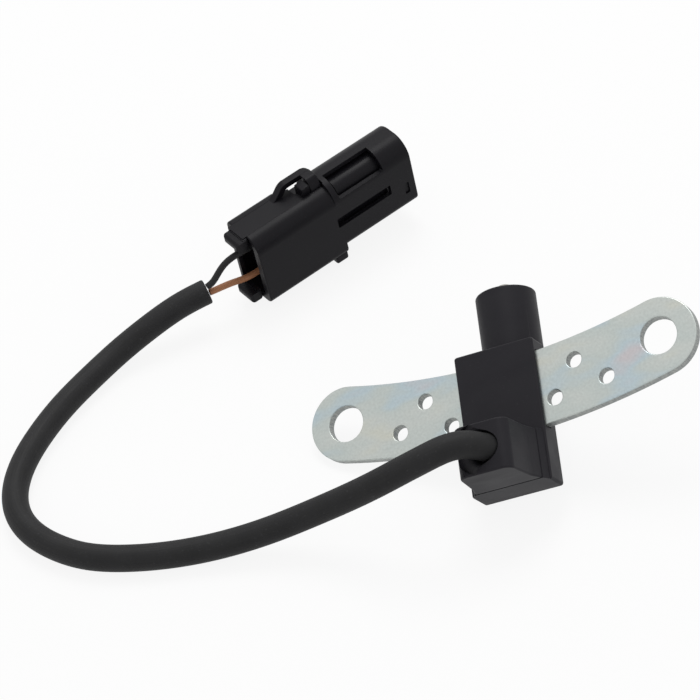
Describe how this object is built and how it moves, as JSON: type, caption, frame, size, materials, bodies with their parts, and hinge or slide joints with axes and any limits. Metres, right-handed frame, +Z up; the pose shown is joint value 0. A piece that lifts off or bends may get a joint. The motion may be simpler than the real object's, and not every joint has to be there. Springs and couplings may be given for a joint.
{
  "type": "crankshaft position sensor",
  "caption": "Inductive crankshaft position sensor: bent steel bracket with bolt eyes, moulded body and barrel, cable and sealed two-way connector.",
  "frame": {"origin": "centre of the sensor's own footprint, on the surface it lies on, leaving out the cable and connector", "axes": "+X along the bracket, +Y towards the side that the barrel's tip points to, +Z up"},
  "size_m": [0.1893, 0.1446, 0.0409],
  "materials": {
    "zinc_plated_steel": "satin, zinc plated and faintly iridescent",
    "black_nylon": "moulded, satin, glass filled",
    "connector_nylon": "moulded, satin",
    "bobbin_nylon": "moulded, natural colour",
    "soft_iron": "turned",
    "nickel_plated_magnet": "nickel plated",
    "enamelled_copper": "fine enamelled wire, wound in layers",
    "tinned_brass": "tin plated",
    "potting_resin": "cast resin",
    "jacket_rubber": "extruded, matte",
    "black_insulation": "extruded",
    "brown_insulation": "extruded",
    "seal_silicone": "moulded silicone"
  },
  "bodies": {
    "root": {"bracket": "zinc_plated_steel", "sensor_housing": "black_nylon", "cable_housing": "black_nylon", "pole_piece": "soft_iron", "magnet": "nickel_plated_magnet", "coil_bobbin": "bobbin_nylon", "coil_winding": "enamelled_copper", "terminal_left": "tinned_brass", "terminal_right": "tinned_brass", "potting": "potting_resin", "lead_black": "black_insulation", "lead_brown": "brown_insulation", "cable_jacket": "jacket_rubber", "wire_black": "black_insulation", "wire_brown": "brown_insulation", "connector_body": "connector_nylon", "connector_core": "connector_nylon", "secondary_lock": "connector_nylon", "wire_seal_upper": "seal_silicone", "wire_seal_lower": "seal_silicone", "contact_upper": "tinned_brass", "contact_lower": "tinned_brass"}
  },
  "joints": []
}
